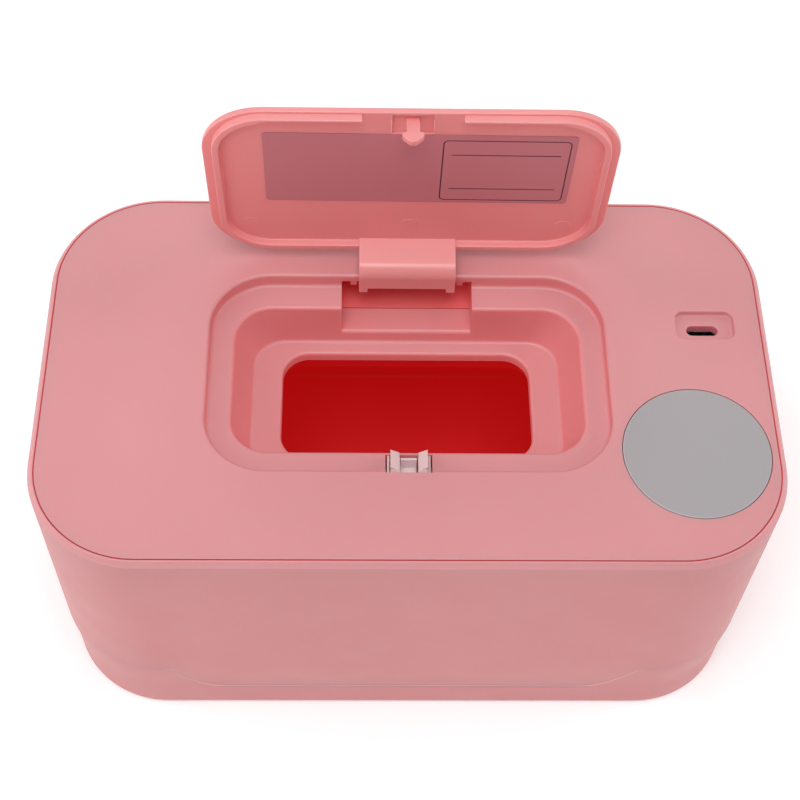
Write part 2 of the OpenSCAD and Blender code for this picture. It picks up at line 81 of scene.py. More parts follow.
class Graph:
    def __init__(self, name):
        self.m = bpy.data.materials.new(name)
        self.m.use_nodes = True
        self.t = self.m.node_tree
        self.b = self.t.nodes["Principled BSDF"]

    def add(self, kind, **props):
        n = self.t.nodes.new(kind)
        for k, v in props.items():
            setattr(n, k, v)
        return n

    def join(self, a, b):
        self.t.links.new(a, b)

    def coords(self):
        return self.add("ShaderNodeTexCoord").outputs["Object"]

    def noise(self, vec, scale, detail=3.0, rough=0.5):
        n = self.add("ShaderNodeTexNoise")
        n.inputs["Scale"].default_value = scale
        n.inputs["Detail"].default_value = detail
        n.inputs["Roughness"].default_value = rough
        self.join(vec, n.inputs["Vector"])
        return n.outputs["Fac"]

    def ramp(self, fac, stops):
        r = self.add("ShaderNodeValToRGB")
        e = r.color_ramp.elements
        e[0].position, e[0].color = stops[0][0], (*stops[0][1], 1)
        e[1].position, e[1].color = stops[-1][0], (*stops[-1][1], 1)
        for pos, col in stops[1:-1]:
            x = e.new(pos)
            x.color = (*col, 1)
        self.join(fac, r.inputs["Fac"])
        return r.outputs["Color"]

    def span(self, fac, lo, hi, a=0.3, b=0.7):
        r = self.add("ShaderNodeMapRange")
        r.inputs["From Min"].default_value = a
        r.inputs["From Max"].default_value = b
        r.inputs["To Min"].default_value = lo
        r.inputs["To Max"].default_value = hi
        self.join(fac, r.inputs["Value"])
        return r.outputs["Result"]

    def bump(self, height, strength, distance, normal=None):
        n = self.add("ShaderNodeBump")
        n.inputs["Strength"].default_value = strength
        n.inputs["Distance"].default_value = distance
        self.join(height, n.inputs["Height"])
        if normal is not None:
            self.join(normal, n.inputs["Normal"])
        return n.outputs["Normal"]


def tint(c, k):
    return tuple(max(0.0, min(1.0, v * k)) for v in c)


def plastic(name, rgb, rough=(0.42, 0.52), grain=3200.0, depth=0.00003,
            strength=0.35, spread=0.035, sss=0.0, spec=0.4, deep=(0.004, 0.0015, 0.0012), glow=0.0, glow_rgb=(1.0, 0.03, 0.032)):
    """Moulded plastic with a fine spark-eroded grain and slight flow marks."""
    g = Graph(name)
    c = lin(rgb)
    v = g.coords()
    flow = g.noise(v, 14.0, 2.0)
    g.join(g.ramp(flow, [(0.3, tint(c, 1 - spread)), (0.5, c), (0.72, tint(c, 1 + spread))]),
           g.b.inputs["Base Color"])
    fine = g.noise(v, grain, 2.0, 0.6)
    wide = g.noise(v, 60.0, 3.0)
    g.join(g.span(wide, rough[0], rough[1]), g.b.inputs["Roughness"])
    g.join(g.bump(fine, strength, depth), g.b.inputs["Normal"])
    g.b.inputs["Specular IOR Level"].default_value = spec
    if glow:
        # painted glow: emission that stands in for light coming through the thin walls; the part is no lamp
        g.b.inputs["Emission Color"].default_value = (*glow_rgb, 1.0)
        g.b.inputs["Emission Strength"].default_value = glow
    if sss:
        g.b.inputs["Subsurface Weight"].default_value = sss
        g.b.inputs["Subsurface Radius"].default_value = deep
        g.b.inputs["Subsurface Scale"].default_value = 1.0
    return g.m


def metal(name, rgb, rough=(0.25, 0.4), stretch=(400.0, 4000.0, 400.0)):
    """Drawn or plated metal with fine lines."""
    g = Graph(name)
    c = lin(rgb)
    m = g.add("ShaderNodeMapping")
    m.inputs["Scale"].default_value = stretch
    g.join(g.coords(), m.inputs["Vector"])
    lines = g.noise(m.outputs["Vector"], 1.0, 3.0)
    g.join(g.ramp(lines, [(0.3, tint(c, 0.88)), (0.7, tint(c, 1.06))]), g.b.inputs["Base Color"])
    g.join(g.span(lines, rough[0], rough[1]), g.b.inputs["Roughness"])
    g.join(g.bump(lines, 0.15, 0.00002), g.b.inputs["Normal"])
    g.b.inputs["Metallic"].default_value = 1.0
    return g.m


PINK = (221, 149, 152)
DEEP = (0.01, 0.002, 0.0016)
MATS = {
    "body": plastic("body_plastic", (213, 133, 135), sss=0.3, deep=DEEP, spec=0.7),
    "panel": plastic("panel_plastic", PINK, sss=0.3, deep=DEEP, spec=0.7),
    # tub and inner cover: deep red with a strong red glow, painted light standing in for light reaching into the tub
    "tub": plastic("tub_glow_plastic", (150, 28, 32), rough=(0.4, 0.5), grain=1500.0, spec=0.2, glow=0.28, glow_rgb=(1.0, 0.008, 0.008)),
    # bracket: faint red glow, painted light that lifts it in the shade of the lid's arm
    "bracket": plastic("bracket_glow_plastic", (244, 116, 118), rough=(0.4, 0.5), sss=0.3, deep=DEEP, glow=0.04),
    # well: redder copy of the panel pink with a faint red glow, painted shade for the recess walls and pocket floor
    "well": plastic("well_shade_plastic", (227, 139, 142), sss=0.3, deep=DEEP, spec=0.7, glow=0.03),
    # lid: lighter copy of the panel pink, painted light standing in for light bounced from the panel onto the open
    # lid's inner face
    "lid": plastic("lid_lit_plastic", (243, 155, 155), rough=(0.34, 0.44), grain=2200.0, sss=0.35, deep=(0.006, 0.002, 0.0016), spec=0.7),
    "feet": plastic("foot_rubber", (50, 50, 52), rough=(0.75, 0.9), grain=1800.0, strength=0.6, spread=0.1),
    "seal": plastic("seal_silicone", (226, 224, 218), rough=(0.5, 0.62)),
    # seam: deep red for the faces inside the gap between panel and shell, painted shade
    "seam": plastic("seam_shade_plastic", (222, 74, 82), rough=(0.5, 0.6), sss=0.2),
    # lens_edge: lighter grey for the lens's edge fillet, a painted highlight
    "lens_edge": plastic("lens_edge_highlight_film", (188, 184, 186), rough=(0.35, 0.45), spread=0.015),
    "lens": plastic("lens_film", (167, 162, 164), rough=(0.5, 0.6), grain=4200.0, depth=0.00002, spread=0.015),
    "module": plastic("module_plastic", (34, 34, 36), rough=(0.4, 0.55), spread=0.1),
    "latch": plastic("latch_plastic", (228, 200, 200), rough=(0.28, 0.38), grain=1500.0, strength=0.15, sss=0.3),
    # slider: pale with a pinkish glow, painted light that brightens it down in the latch slot
    "slider": plastic("slider_glow_plastic", (230, 208, 210), rough=(0.28, 0.38), grain=1500.0, strength=0.15, sss=0.4,
                      deep=(0.004, 0.003, 0.003), glow=0.12, glow_rgb=(1.0, 0.8, 0.82)),
    # edge: lighter pink, a painted highlight for the band's top edge and the lid's fine raised lines
    "edge": plastic("edge_highlight_plastic", (250, 190, 192), rough=(0.35, 0.45), sss=0.3),
    # rim: lighter copy of the body pink, painted light on the up-facing ledge of the wall's top rim
    "rim": plastic("rim_lit_plastic", (230, 153, 156), sss=0.3, deep=DEEP, spec=0.7),
    # bore: deep red with a red glow, painted shade and glow for the latch slot walls
    "bore": plastic("slot_wall_shade_plastic", (226, 60, 72), rough=(0.45, 0.55), sss=0.3, deep=DEEP,
                    glow=0.04, glow_rgb=(1.0, 0.06, 0.09)),
    # mouth: reddish copy of the panel pink, painted shade for the walls of the socket slot
    "mouth": plastic("socket_wall_shade_plastic", (226, 128, 138), rough=(0.45, 0.55), sss=0.3, deep=DEEP),
    "pad": plastic("pad_felt", (214, 208, 192), rough=(0.85, 0.95), grain=900.0, depth=0.0003, strength=0.8, spread=0.12, spec=0.1),
    "film": plastic("film_polyimide", (202, 128, 40), rough=(0.25, 0.35), spread=0.08),
    "board": plastic("board_mask", (30, 96, 58), rough=(0.3, 0.4), spread=0.12),
    "tongue": plastic("tongue_plastic", (24, 24, 26), rough=(0.45, 0.6), spread=0.1),
    "bead": plastic("bead_epoxy", (30, 30, 32), rough=(0.2, 0.3), spread=0.1),
    "ceramic": plastic("fuse_ceramic", (222, 216, 200), rough=(0.5, 0.6), spread=0.05),
    "wire": plastic("wire_sleeve", (188, 26, 28), rough=(0.4, 0.5), spread=0.06),
    "steel": metal("screw_zinc", (190, 191, 194)),
    "pin": metal("pin_ground", (198, 198, 202), rough=(0.18, 0.28), stretch=(4000.0, 300.0, 300.0)),
    "spring": metal("spring_wire", (172, 172, 178)),
    "port": metal("port_plating", (196, 196, 198), rough=(0.2, 0.32)),
    "plate": metal("plate_aluminium", (214, 215, 218), rough=(0.28, 0.42), stretch=(40.0, 5000.0, 40.0)),
    "ink": plastic("label_ink", (70, 36, 42), rough=(0.4, 0.5), spread=0.1),
    "label": plastic("label_film_tint", (204, 128, 136), rough=(0.36, 0.42), grain=900.0, strength=0.02, spread=0.03),
}
USES = {
    "body_shell": "body", "base_pan": "body", "top_panel": "panel", "inner_tub": "tub",
    "inner_cover": "tub", "hinge_bracket": "bracket", "rubber_feet": "feet", "tub_seal": "seal",
    "base_screws": "steel", "cover_screws": "steel", "board_screws": "steel",
    "bracket_screws": "steel", "latch_screws": "steel", "plate_rivets": "steel",
    "hinge_pin": "pin", "latch_pins": "pin", "hinge_spring": "spring", "latch_spring": "spring",
    "display_lens": "lens", "display_module": "module", "control_board": "board",
    "usb_shell": "port", "usb_tongue": "tongue", "heat_pad": "pad", "heating_film": "film",
    "heater_plate": "plate", "thermistor": "bead", "thermal_fuse": "ceramic",
    "heater_wires": "wire", "flip_lid": "lid", "lid_label": "label", "latch_housing": "latch",
    "latch_slider": "slider", "latch_jaw_left": "latch", "latch_jaw_right": "latch",
}
for node, key in USES.items():
    o = NODES[node]
    o.data.materials.clear()
    o.data.materials.append(MATS[key])


# ---------- mesh tools (millimetres in, metres out) ----------

def link(name, me):
    o = bpy.data.objects.new(name, me)
    bpy.context.scene.collection.objects.link(o)
    return o


def mesh_obj(name, verts, faces):
    me = bpy.data.meshes.new(name)
    me.from_pydata([(x * MM, y * MM, z * MM) for x, y, z in verts], [], faces)
    bm = bmesh.new()
    bm.from_mesh(me)
    bmesh.ops.remove_doubles(bm, verts=bm.verts, dist=1e-7)
    bmesh.ops.dissolve_degenerate(bm, dist=1e-8, edges=bm.edges)
    bmesh.ops.recalc_face_normals(bm, faces=bm.faces)
    bm.to_mesh(me)
    bm.free()
    return link(name, me)


def rr_ring(v, cx=0.0, cy=0.0, n=20):
    """Rounded rectangle loop; v is half length, half width, corner radius, height."""
    hl, hw, r, z = v
    out = []
    for sx, sy_, a0 in ((1, 1, 0), (-1, 1, 90), (-1, -1, 180), (1, -1, 270)):
        for k in range(n + 1):
            a = math.radians(a0 + 90.0 * k / n)
            out.append((cx + sx * (hl - r) + r * math.cos(a), cy + sy_ * (hw - r) + r * math.sin(a), z))
    return out


def fillet(a, c, b, n=6):
    """Vectors from a to b round the corner c, as a quarter of an ellipse."""
    out = []
    for k in range(n + 1):
        t = math.pi / 2 * k / n
        s1, s2 = math.sin(t), 1 - math.cos(t)
        out.append(tuple(a[i] + (c[i] - a[i]) * s1 + (b[i] - c[i]) * s2 for i in range(len(a))))
    return out


def loft(name, loops, closed=False):
    """Closed solid through loops of equal length; closed joins the last loop to the first."""
    n, verts, faces = len(loops[0]), [], []
    for lp in loops:
        verts += lp
    m = len(loops)
    for i in range(m if closed else m - 1):
        a, b = i * n, ((i + 1) % m) * n
        for k in range(n):
            q = (k + 1) % n
            faces.append((a + k, a + q, b + q, b + k))
    if not closed:
        faces.append(tuple(range(n))[::-1])
        faces.append(tuple(range((m - 1) * n, m * n)))
    return mesh_obj(name, verts, faces)


def cyl(name, x, y, r, z0, z1, n=48):
    return loft(name, [rr_ring((r, r, r, z), x, y, n // 4) for z in (z0, z1)])


def block(name, a, b):
    return loft(name, [[(a[0], a[1], z), (b[0], a[1], z), (b[0], b[1], z), (a[0], b[1], z)]
                       for z in (a[2], b[2])])


def prism(name, pts, place, a, b, edge=0.0, seg=2):
    """Outline pts pushed from a to b; place(u, v, w) gives the point. Its end edges are rounded."""
    o = loft(name, [[place(u, v, w) for u, v in pts] for w in (a, b)])
    if edge:
        bm = bmesh.new()
        bm.from_mesh(o.data)
        big = [f for f in bm.faces if len(f.verts) == len(pts)]
        es = {e for f in big for e in f.edges}
        bmesh.ops.bevel(bm, geom=list(es), offset=edge * MM, segments=seg, profile=0.5,
                        affect="EDGES", clamp_overlap=True)
        bm.to_mesh(o.data)
        bm.free()
    return o


def boolean(o, op, others):
    for c in others:
        m = o.modifiers.new("b", "BOOLEAN")
        m.operation, m.solver, m.object = op, "EXACT", c
        dg = bpy.context.evaluated_depsgraph_get()
        me = bpy.data.meshes.new_from_object(o.evaluated_get(dg))
        o.modifiers.clear()
        old, o.data = o.data, me
        bpy.data.meshes.remove(old)
        bpy.data.objects.remove(c)
    return o


def tidy(o, angle=32.0, weighted=True):
    bm = bmesh.new()
    bm.from_mesh(o.data)
    bmesh.ops.remove_doubles(bm, verts=bm.verts, dist=2e-7)
    bmesh.ops.dissolve_degenerate(bm, dist=1e-7, edges=bm.edges)
    for f in bm.faces:
        f.smooth = True
    bm.to_mesh(o.data)
    bm.free()
    o.data.set_sharp_from_angle(angle=math.radians(angle))
    if weighted:
        w = o.modifiers.new("normals", "WEIGHTED_NORMAL")
        w.keep_sharp = True
        w.weight = 80
    return o


def show(o, body, mat, node=None):
    o.data.materials.clear()
    o.data.materials.append(MATS[mat])
    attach(o, body)
    if node:
        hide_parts(node)
    return o


def paint(o, mat, test):
    """Gives the faces whose centre (mm) and normal pass the test a second material."""
    o.data.materials.append(MATS[mat])
    k = len(o.data.materials) - 1
    for f in o.data.polygons:
        if test(f.center / MM, f.normal):
            f.material_index = k


def line_x(u, v, w):
    return (w, u, v)


def line_y(u, v, w):
    return (u, w, v)


# ---------- top panel ----------

def panel():
    L, W, R = 100.52, 59.02, 28.72

    def sl(t):
        return (49.3 - 4.85 * t, 24 - 1.65 * t, 10.6 - 1.3 * t, H - 4.6 - 14.2 * t)
    v = [(L, W, R, H - 7)]
    v += fillet((L, W, R, H - 0.25), (L, W, R, H), (L - 0.25, W - 0.25, R - 0.25, H))
    v += fillet((56.9, 33.15, 18.0, H), (56, 32.25, 17.1, H), (56, 32.25, 17.1, H - 0.9), 8)
    v += fillet((56, 32.25, 17.1, H - 3.6), (56, 32.25, 17.1, H - 4.6), (55, 31.25, 16.1, H - 4.6), 8)
    v += fillet((50.2, 24.9, 11.5, H - 4.6), (49.3, 24, 10.6, H - 4.6), sl(0.9 / 14.2), 8)
    v += fillet(sl(1 - 0.9 / 14.2), sl(1), (43.5, 21.4, 8.4, H - 18.8), 8)
    v += fillet((36.9, 18.7, 8.7, H - 18.8), (36, 17.8, 7.8, H - 18.8), (35.98, 17.75, 7.8, H - 19.7), 8)
    v += [(35.95, 17.5, 7.8, H - 21.7), (46.45, 24.35, 11.3, H - 21.7), (51.3, 26, 12.6, H - 6.8),
          (58, 34.25, 19.1, H - 6.8), (58, 34.25, 19.1, H - 2.4), (98.47, 56.97, 26.67, H - 2.4),
          (98.47, 56.97, 26.67, H - 7)]
    o = loft("top_panel_moulding", [rr_ring(x) for x in v], closed=True)
    add = [prism("u", [(25.3, H - 6.0), (23.6, H - 16.7), (31.5, H - 16.7), (31.5, H - 6.0)], line_x, -21, 21)]
    add += [cyl("u", x * 9.4, -29, 2.6, H - 9, H - 5.5) for x in (-1, 1)]
    add += [cyl("u", x * 25, 41, 2.6, H - 6.5, H - 2.2) for x in (-1, 1)]
    add += [loft("u", [rr_ring((10, 6.5, 4.8, z), 84.95, 15.9) for z in (H - 4.35, H - 2.2)])]
    add += [cyl("u", x, y, 2.2, H - 9.45, H - 2.2) for x, y in ((63.5, 22), (63.5, -36), (87.5, -35.5))]
    add += [cyl("u", x * 80, y * 43.5, 3.1, H - 28.15, H - 2.2) for x in (-1, 1) for y in (-1, 1)]
    boolean(o, "UNION", add)
    # hinge pocket, its floor rounding over into the well wall
    prof = [(46, H - 2.4), (46, H - 14.5)]
    prof += fillet((23.9, H - 14.5), (22.9, H - 14.5), (22.72, H - 15.5), 8)
    prof += [(21.0, H - 15.5), (21.0, H - 2.4)]
    cut = [prism("c", prof, line_x, -18.95, 18.95), block("c", (-18.95, 31.2, H - 15.4), (18.95, 32, H - 14.3))]
    cut += [block("c", (-6.4, -33.05, H - 30), (6.4, -24.95, H + 1)),
            block("c", (-6.15, -34.6, H - 30), (6.15, -24.95, H - 2.4))]
    # socket recess and slot
    u = [(8.8, 5.25, 2.95, H + 1)] + fillet((8.8, 5.25, 2.95, H), (8.25, 4.7, 2.4, H), (8.25, 4.7, 2.4, H - 0.55))
    u += fillet((8.25, 4.7, 2.4, H - 1.5), (8.25, 4.7, 2.4, H - 2), (7.75, 4.2, 1.9, H - 2))
    cut += [loft("c", [rr_ring(x, 84.95, 15.9) for x in u])]
    u = [(4.75, 1.87, 1.87, H - 1)] + fillet((4.75, 1.87, 1.87, H - 2), (4.525, 1.65, 1.65, H - 2),
                                             (4.525, 1.65, 1.65, H - 2.25), 4)
    u += [(4.525, 1.65, 1.65, z) for z in (H - 3.1, H - 3.8, H - 6)]
    cut += [loft("c", [rr_ring(x, 84.4, 15.2) for x in u])]
    # lens seat and window
    u = [(20.62, 20.62, 20.62, H + 1)] + fillet((20.62,) * 3 + (H,), (20.45,) * 3 + (H,), (20.45,) * 3 + (H - 0.17,), 4)
    u += [(20.45, 20.45, 20.45, H - 1.6)]
    cut += [loft("c", [rr_ring(x, 78.3, -26.35, 40) for x in u])]
    cut += [loft("c", [rr_ring((12, 7, 2, z), 78.3, -26.35) for z in (H - 4, H - 1)])]
    cut += [cyl("c", x * 9.4, -29, 1.05, H - 10, H - 5.6, 24) for x in (-1, 1)]
    cut += [cyl("c", x * 25, 41, 1.05, H - 7, H - 3, 24) for x in (-1, 1)]
    cut += [cyl("c", x, y, 1.05, H - 10, H - 4, 24) for x, y in ((63.5, 22), (63.5, -36), (87.5, -35.5))]
    cut += [cyl("c", x * 80, y * 43.5, 1.25, H - 29, H - 20, 24) for x in (-1, 1) for y in (-1, 1)]
    boolean(o, "DIFFERENCE", cut)
    # bearing tabs under the skin
    tab = [(32.9, H - 2.2), (32.9, H - 5), (36.8, H - 6), (38.7, H - 6.6), (40.6, H - 6), (42, H - 5), (42, H - 2.2)]
    tabs = [prism("t", tab, line_x, a, a + 1.9, 0.15) for a in (14.5, -16.4)]
    boolean(o, "UNION", tabs)
    bore = prism("c", [(38.7 + 1.03 * math.cos(a), H - 4.4 + 1.03 * math.sin(a))
                       for a in (2 * math.pi * k / 32 for k in range(32))], line_x, -18, 18)
    boolean(o, "DIFFERENCE", [bore])
    show(tidy(o), BODY_OF["top_panel"], "panel", "top_panel")

    def in_slot(c):
        return abs(c.x) < 7 and c.y < -24

    def in_seam(c, n):
        dx, dy = max(0.0, abs(c.x) - (L - R)), max(0.0, abs(c.y) - (W - R))
        return c.z < H - 0.25 and abs(n.z) < 0.85 and math.hypot(dx, dy) > R - 0.3
    # painted shade: the panel's faces in the seam gap get the deep red seam plastic
    paint(o, "seam", in_seam)
    # painted shade and glow: the latch slot walls get the deep red bore plastic
    paint(o, "bore", lambda c, n: abs(n.z) < 0.3 and c.z < H - 0.2 and 6.2 < abs(c.x) < 6.6 and -33.2 < c.y < -24.9)
    # painted shade: recess walls and pocket floor get the redder, faintly glowing well plastic
    paint(o, "well", lambda c, n: c.z < H - 0.8 and abs(c.x) < 56.5 and abs(c.y) < 46.5 and n.z > -0.2
          and abs(c.x) + 0.5 * abs(c.y) > 8 and (n.z < 0.85 or (abs(c.x) < 19 and c.y > 23.5)) and not in_slot(c))
    # painted shade: the socket slot walls get the reddish mouth plastic
    paint(o, "mouth", lambda c, n: abs(n.z) < 0.3 and H - 4.3 < c.z < H - 2.3
          and abs(c.x - 84.4) < 4.9 and abs(c.y - 15.2) < 1.8)


# ---------- body wall and base band ----------

def part_line(x):
    t = min(1.3, max(-0.2, (abs(x) - 57.0) / 11.7))
    u = 0.68 * (t + 0.2) ** 2 if t < 0.2 else 0.5 * t + 0.5 * t ** 2.5
    if u > 0.88:
        u = 1 - (1.12 - u) ** 2 / 0.48 if u < 1.12 else 1.0
    return 13.3 + 14.3 * u


def stations():
    """Points and outward normals round the body outline, close together along the ogee."""
    hl, hw, r = 102.5, 61.0, 30.7
    xs = [71.8, 71.0] + [70.4 - 15.9 * k / 38 for k in range(39)] + [50, 40, 28, 14, 0]
    xs = xs[:-1] + [0] + [-x for x in xs[:-1]][::-1]
    out = []
    for sx, sy_, a0 in ((1, 1, 0), (-1, 1, 90), (-1, -1, 180), (1, -1, 270)):
        for k in range(25):
            a = math.radians(a0 + 90.0 * k / 24)
            c, s_ = math.cos(a), math.sin(a)
            out.append((sx * (hl - r) + r * c, sy_ * (hw - r) + r * s_, c, s_))
        if a0 == 0:
            out += [(x, hw, 0.0, 1.0) for x in xs[1:-1]]
        if a0 == 180:
            out += [(-x, -hw, 0.0, -1.0) for x in xs[1:-1]]
    return out


def sweep(name, profile, closed):
    st = stations()
    profs = [profile(p[0]) for p in st]
    loops = [[(p[0] + p[2] * q[i][0], p[1] + p[3] * q[i][0], q[i][1]) for p, q in zip(st, profs)]
             for i in range(len(profs[0]))]
    return loft(name, loops, closed)


def inset(z):
    """How far the outside lies inside the body outline at height z."""
    t = min(1.0, max(0.0, (28.6 - z) / 15.6))
    return -0.9 * t * t * (3 - 2 * t)


def proud(x):
    """Step between wall and band, gone before the corners."""
    t = min(1.0, max(0.0, (70.5 - abs(x)) / 5.0))
    return 0.14 * t * t * (3 - 2 * t)


def wall():
    def prof(x):
        zb, p = part_line(x), proud(x)
        a = inset(zb) - p
        q = [(a, zb)]
        q += [(inset(zb + 0.5) - p, zb + 0.5), (inset(zb + 1.5) - 0.7 * p, zb + 1.5),
              (inset(zb + 3.5) - 0.15 * p, zb + 3.5)]
        q += [(inset(z), z) for z in (zb + 5.5 + (33.6 - zb - 5.5) * k / 5 for k in range(6))]
        q += [(0, 56), (0, H - 8)]
        q += fillet((0, H - 1.8), (0, H - 1.55), (-0.2, H - 1.5), 3)
        q += [(-0.24, H - 1.36)] + fillet((-0.3, H - 1.2), (-0.85, H - 0.2), (-1.25, H), 7)
        q += fillet((-1.4, H), (-1.66, H), (-1.66, H - 0.26), 4)
        q += [(-1.66, H - 0.5), (-1.93, H - 0.5), (-1.93, H - 8.6), (-4.6, H - 8.6), (-4.6, H - 10.8), (-2.2, H - 13.6), (-2.2, zb)]
        return q
    o = show(tidy(sweep("body_wall", prof, True)), BODY_OF["body_shell"], "body", "body_shell")

    def in_seam(c, n):
        dx, dy = max(0.0, abs(c.x) - 71.8), max(0.0, abs(c.y) - 30.3)
        return c.z > H - 9 and c.z < H - 0.15 and math.hypot(dx, dy) < 30.7 - 1.5
    # painted shade: the wall's faces in the seam gap get the deep red seam plastic
    paint(o, "seam", in_seam)

    def ledge(c, n):
        dx, dy = max(0.0, abs(c.x) - 71.8), max(0.0, abs(c.y) - 30.3)
        return H - 1.85 < c.z and n.z > 0.05 and math.hypot(dx, dy) > 29.0
    # painted light: the up-facing ledge of the top rim gets the lighter rim plastic
    paint(o, "rim", ledge)


def band():
    def prof(x):
        zt, p = part_line(x) - 0.01, proud(x)
        r = 0.1 + 2.6 * p
        e = inset(zt)
        q = [(-25, 0.9), (-7, 0.9)] + fillet((-1.9, 0.9), (-0.9, 0.9), (-0.9, 1.9), 6)
        q += [(inset(z), z) for z in (13.0 + (zt - r - 13.0) * k / 6 for k in range(6))]
        q += fillet((inset(zt - r), zt - r), (e, zt), (e - p - 0.05, zt), 6)
        q += [(-2.35, zt), (-2.35, zt + 3), (-3.6, zt + 3), (-3.6, 10.3), (-2.9, 10.3), (-2.9, 3.1),
              (-7, 3.1), (-25, 3.1)]
        return q
    o = sweep("base_moulding", prof, False)
    boolean(o, "UNION", [cyl("u", x * 60, y * 30, 5, 2.6, 4.6) for x in (-1, 1) for y in (-1, 1)])
    cut = []
    for x in (-1, 1):
        for y in (-1, 1):
            cut += [cyl("c", x * 60, y * 30, 3.4, 0, 2.6), cyl("c", x * 60, y * 30, 1.7, 2, 6, 32),
                    cyl("c", x * 76, y * 38, 6.15, 0, 1.7, 64)]
    boolean(o, "DIFFERENCE", cut)
    show(tidy(o), BODY_OF["base_pan"], "body", "base_pan")

    # painted highlight: the band's top edge fillet gets the lighter edge plastic
    def top_edge(c, n):
        return abs(c.x) < 71 and abs(c.y) > 55 and abs(part_line(c.x) - c.z) < 0.2 + 1.3 * proud(c.x) and n.z > -0.3
    paint(o, "edge", top_edge)


# ---------- flip lid ----------

def opened(o):
    """Turns a piece built closed to the open position."""
    c = Vector((0, 38.7, H - 4.4)) * MM
    o.data.transform(Matrix.Translation(c) @ Matrix.Rotation(math.radians(-85), 4, "X") @ Matrix.Translation(-c))
    return o


def rib():
    """Ring rib: starts at the latch gap, runs right round and ends at the gap again."""
    hl, hw, r, cy_ = 52.9, 30.3, 14.6, -0.9
    st = []
    for x in [13.2, 14, 20, 30, 37.6]:
        st.append((x, -hw, 0, -1))
    st += [(37.6 + 0.7 * 1, -hw, 0, -1)]
    for sx, sy_, a0 in ((1, -1, 270), (1, 1, 0), (-1, 1, 90), (-1, -1, 180)):
        for k in range(25):
            a = math.radians(a0 + 90.0 * k / 24)
            st.append((sx * (hl - r) + r * math.cos(a), sy_ * (hw - r) + r * math.sin(a), math.cos(a), math.sin(a)))
    st += [(x, -hw, 0, -1) for x in [-37.6, -30, -20, -14, -13.2]]
    st = [p for i, p in enumerate(st) if i == 0 or abs(p[0] - st[i - 1][0]) + abs(p[1] - st[i - 1][1]) > 1e-6]
    loops = []
    for px, py, nx, ny in st:
        t = 1.9
        if py < -hw + 2.0:
            k = min(1.0, max(0.0, (abs(px) - 37.5) / 4.0))
            t = 0.9 + 1.0 * (3 * k * k - 2 * k ** 3)
        q = [(0, H - 1.5)] + fillet((0, H - 3.8), (0, H - 4.1), (-0.3, H - 4.1), 4)
        q += fillet((-t + 0.3, H - 4.1), (-t, H - 4.1), (-t, H - 3.8), 4)
        q += fillet((-t, H - 2.35), (-t, H - 1.9), (-t - 0.45, H - 1.88), 4) + [(-t - 0.45, H - 1.5)]
        loops.append([(px + nx * a, py + cy_ + ny * a, z) for a, z in q])
    return loft("u", loops)


